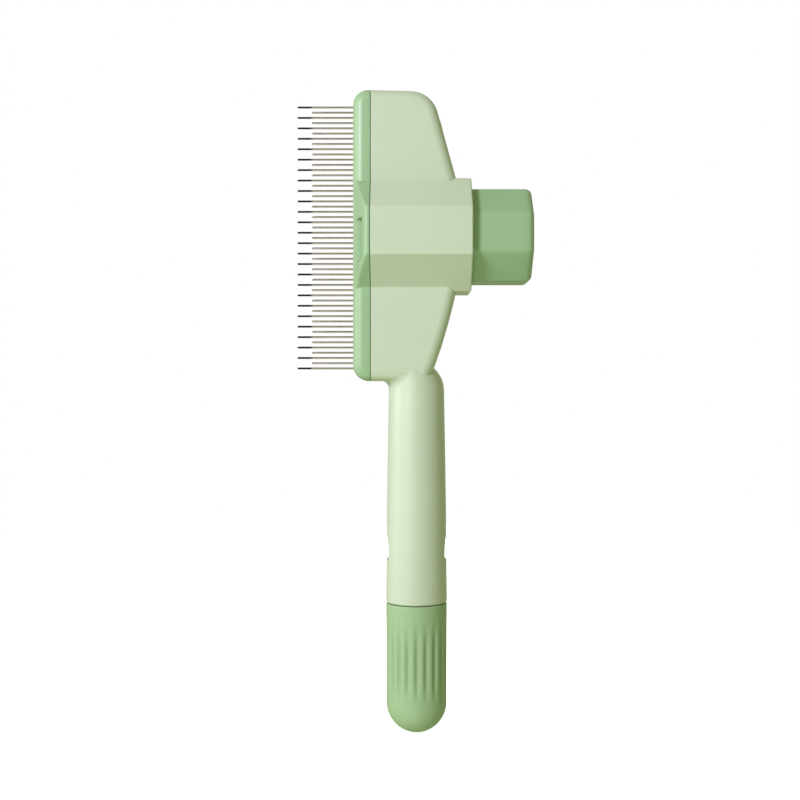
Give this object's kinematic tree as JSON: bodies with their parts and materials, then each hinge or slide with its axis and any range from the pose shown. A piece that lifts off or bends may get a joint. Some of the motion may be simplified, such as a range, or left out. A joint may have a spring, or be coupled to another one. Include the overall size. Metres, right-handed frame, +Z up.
{
  "type": "pet hair comb with push-button ejector",
  "caption": "Straight-handled pet comb with one row of long and short steel pins and a thumb button that slides a plate along the pins to push the hair off.",
  "frame": {"origin": "under the handle's axis, at the tip of the end cap; the bounding box's bottom centre lies 0.9 mm from it, towards the pins", "axes": "+Z up the handle towards the head, -X the way the pins point, +X the way the thumb button points, +Y across the head"},
  "size_m": [0.0712, 0.034, 0.195],
  "materials": {
    "housing_shell": "satin moulded ABS, pale sage green",
    "sage_shell": "satin moulded ABS, sage green",
    "cap_grip": "satin moulded, fluted, sage green",
    "inner_plastic": "natural acetal, as moulded",
    "pin_steel": "drawn stainless wire, polished tips",
    "screw_steel": "zinc plated",
    "spring_steel": "bright drawn spring wire"
  },
  "bodies": {
    "comb_body": {"housing": "housing_shell", "end_cap": "cap_grip", "pin_carrier": "inner_plastic", "pin_backing_bar": "inner_plastic", "long_pins": "pin_steel", "short_pins": "pin_steel", "carrier_screws": "screw_steel", "spring_guide": "inner_plastic", "return_spring": "spring_steel"},
    "ejector": {"stripper_plate": "sage_shell", "plate_screws": "screw_steel", "push_fork": "inner_plastic", "button": "sage_shell", "button_screws": "screw_steel"}
  },
  "joints": [
    {"name": "button_press", "type": "slide", "parent": "comb_body", "child": "ejector", "axis": [-1, 0, 0], "range_m": [0, 0.014], "stiffness_N_per_m": 350, "springref_m": -0.006, "deforming": ["return_spring"]}
  ]
}
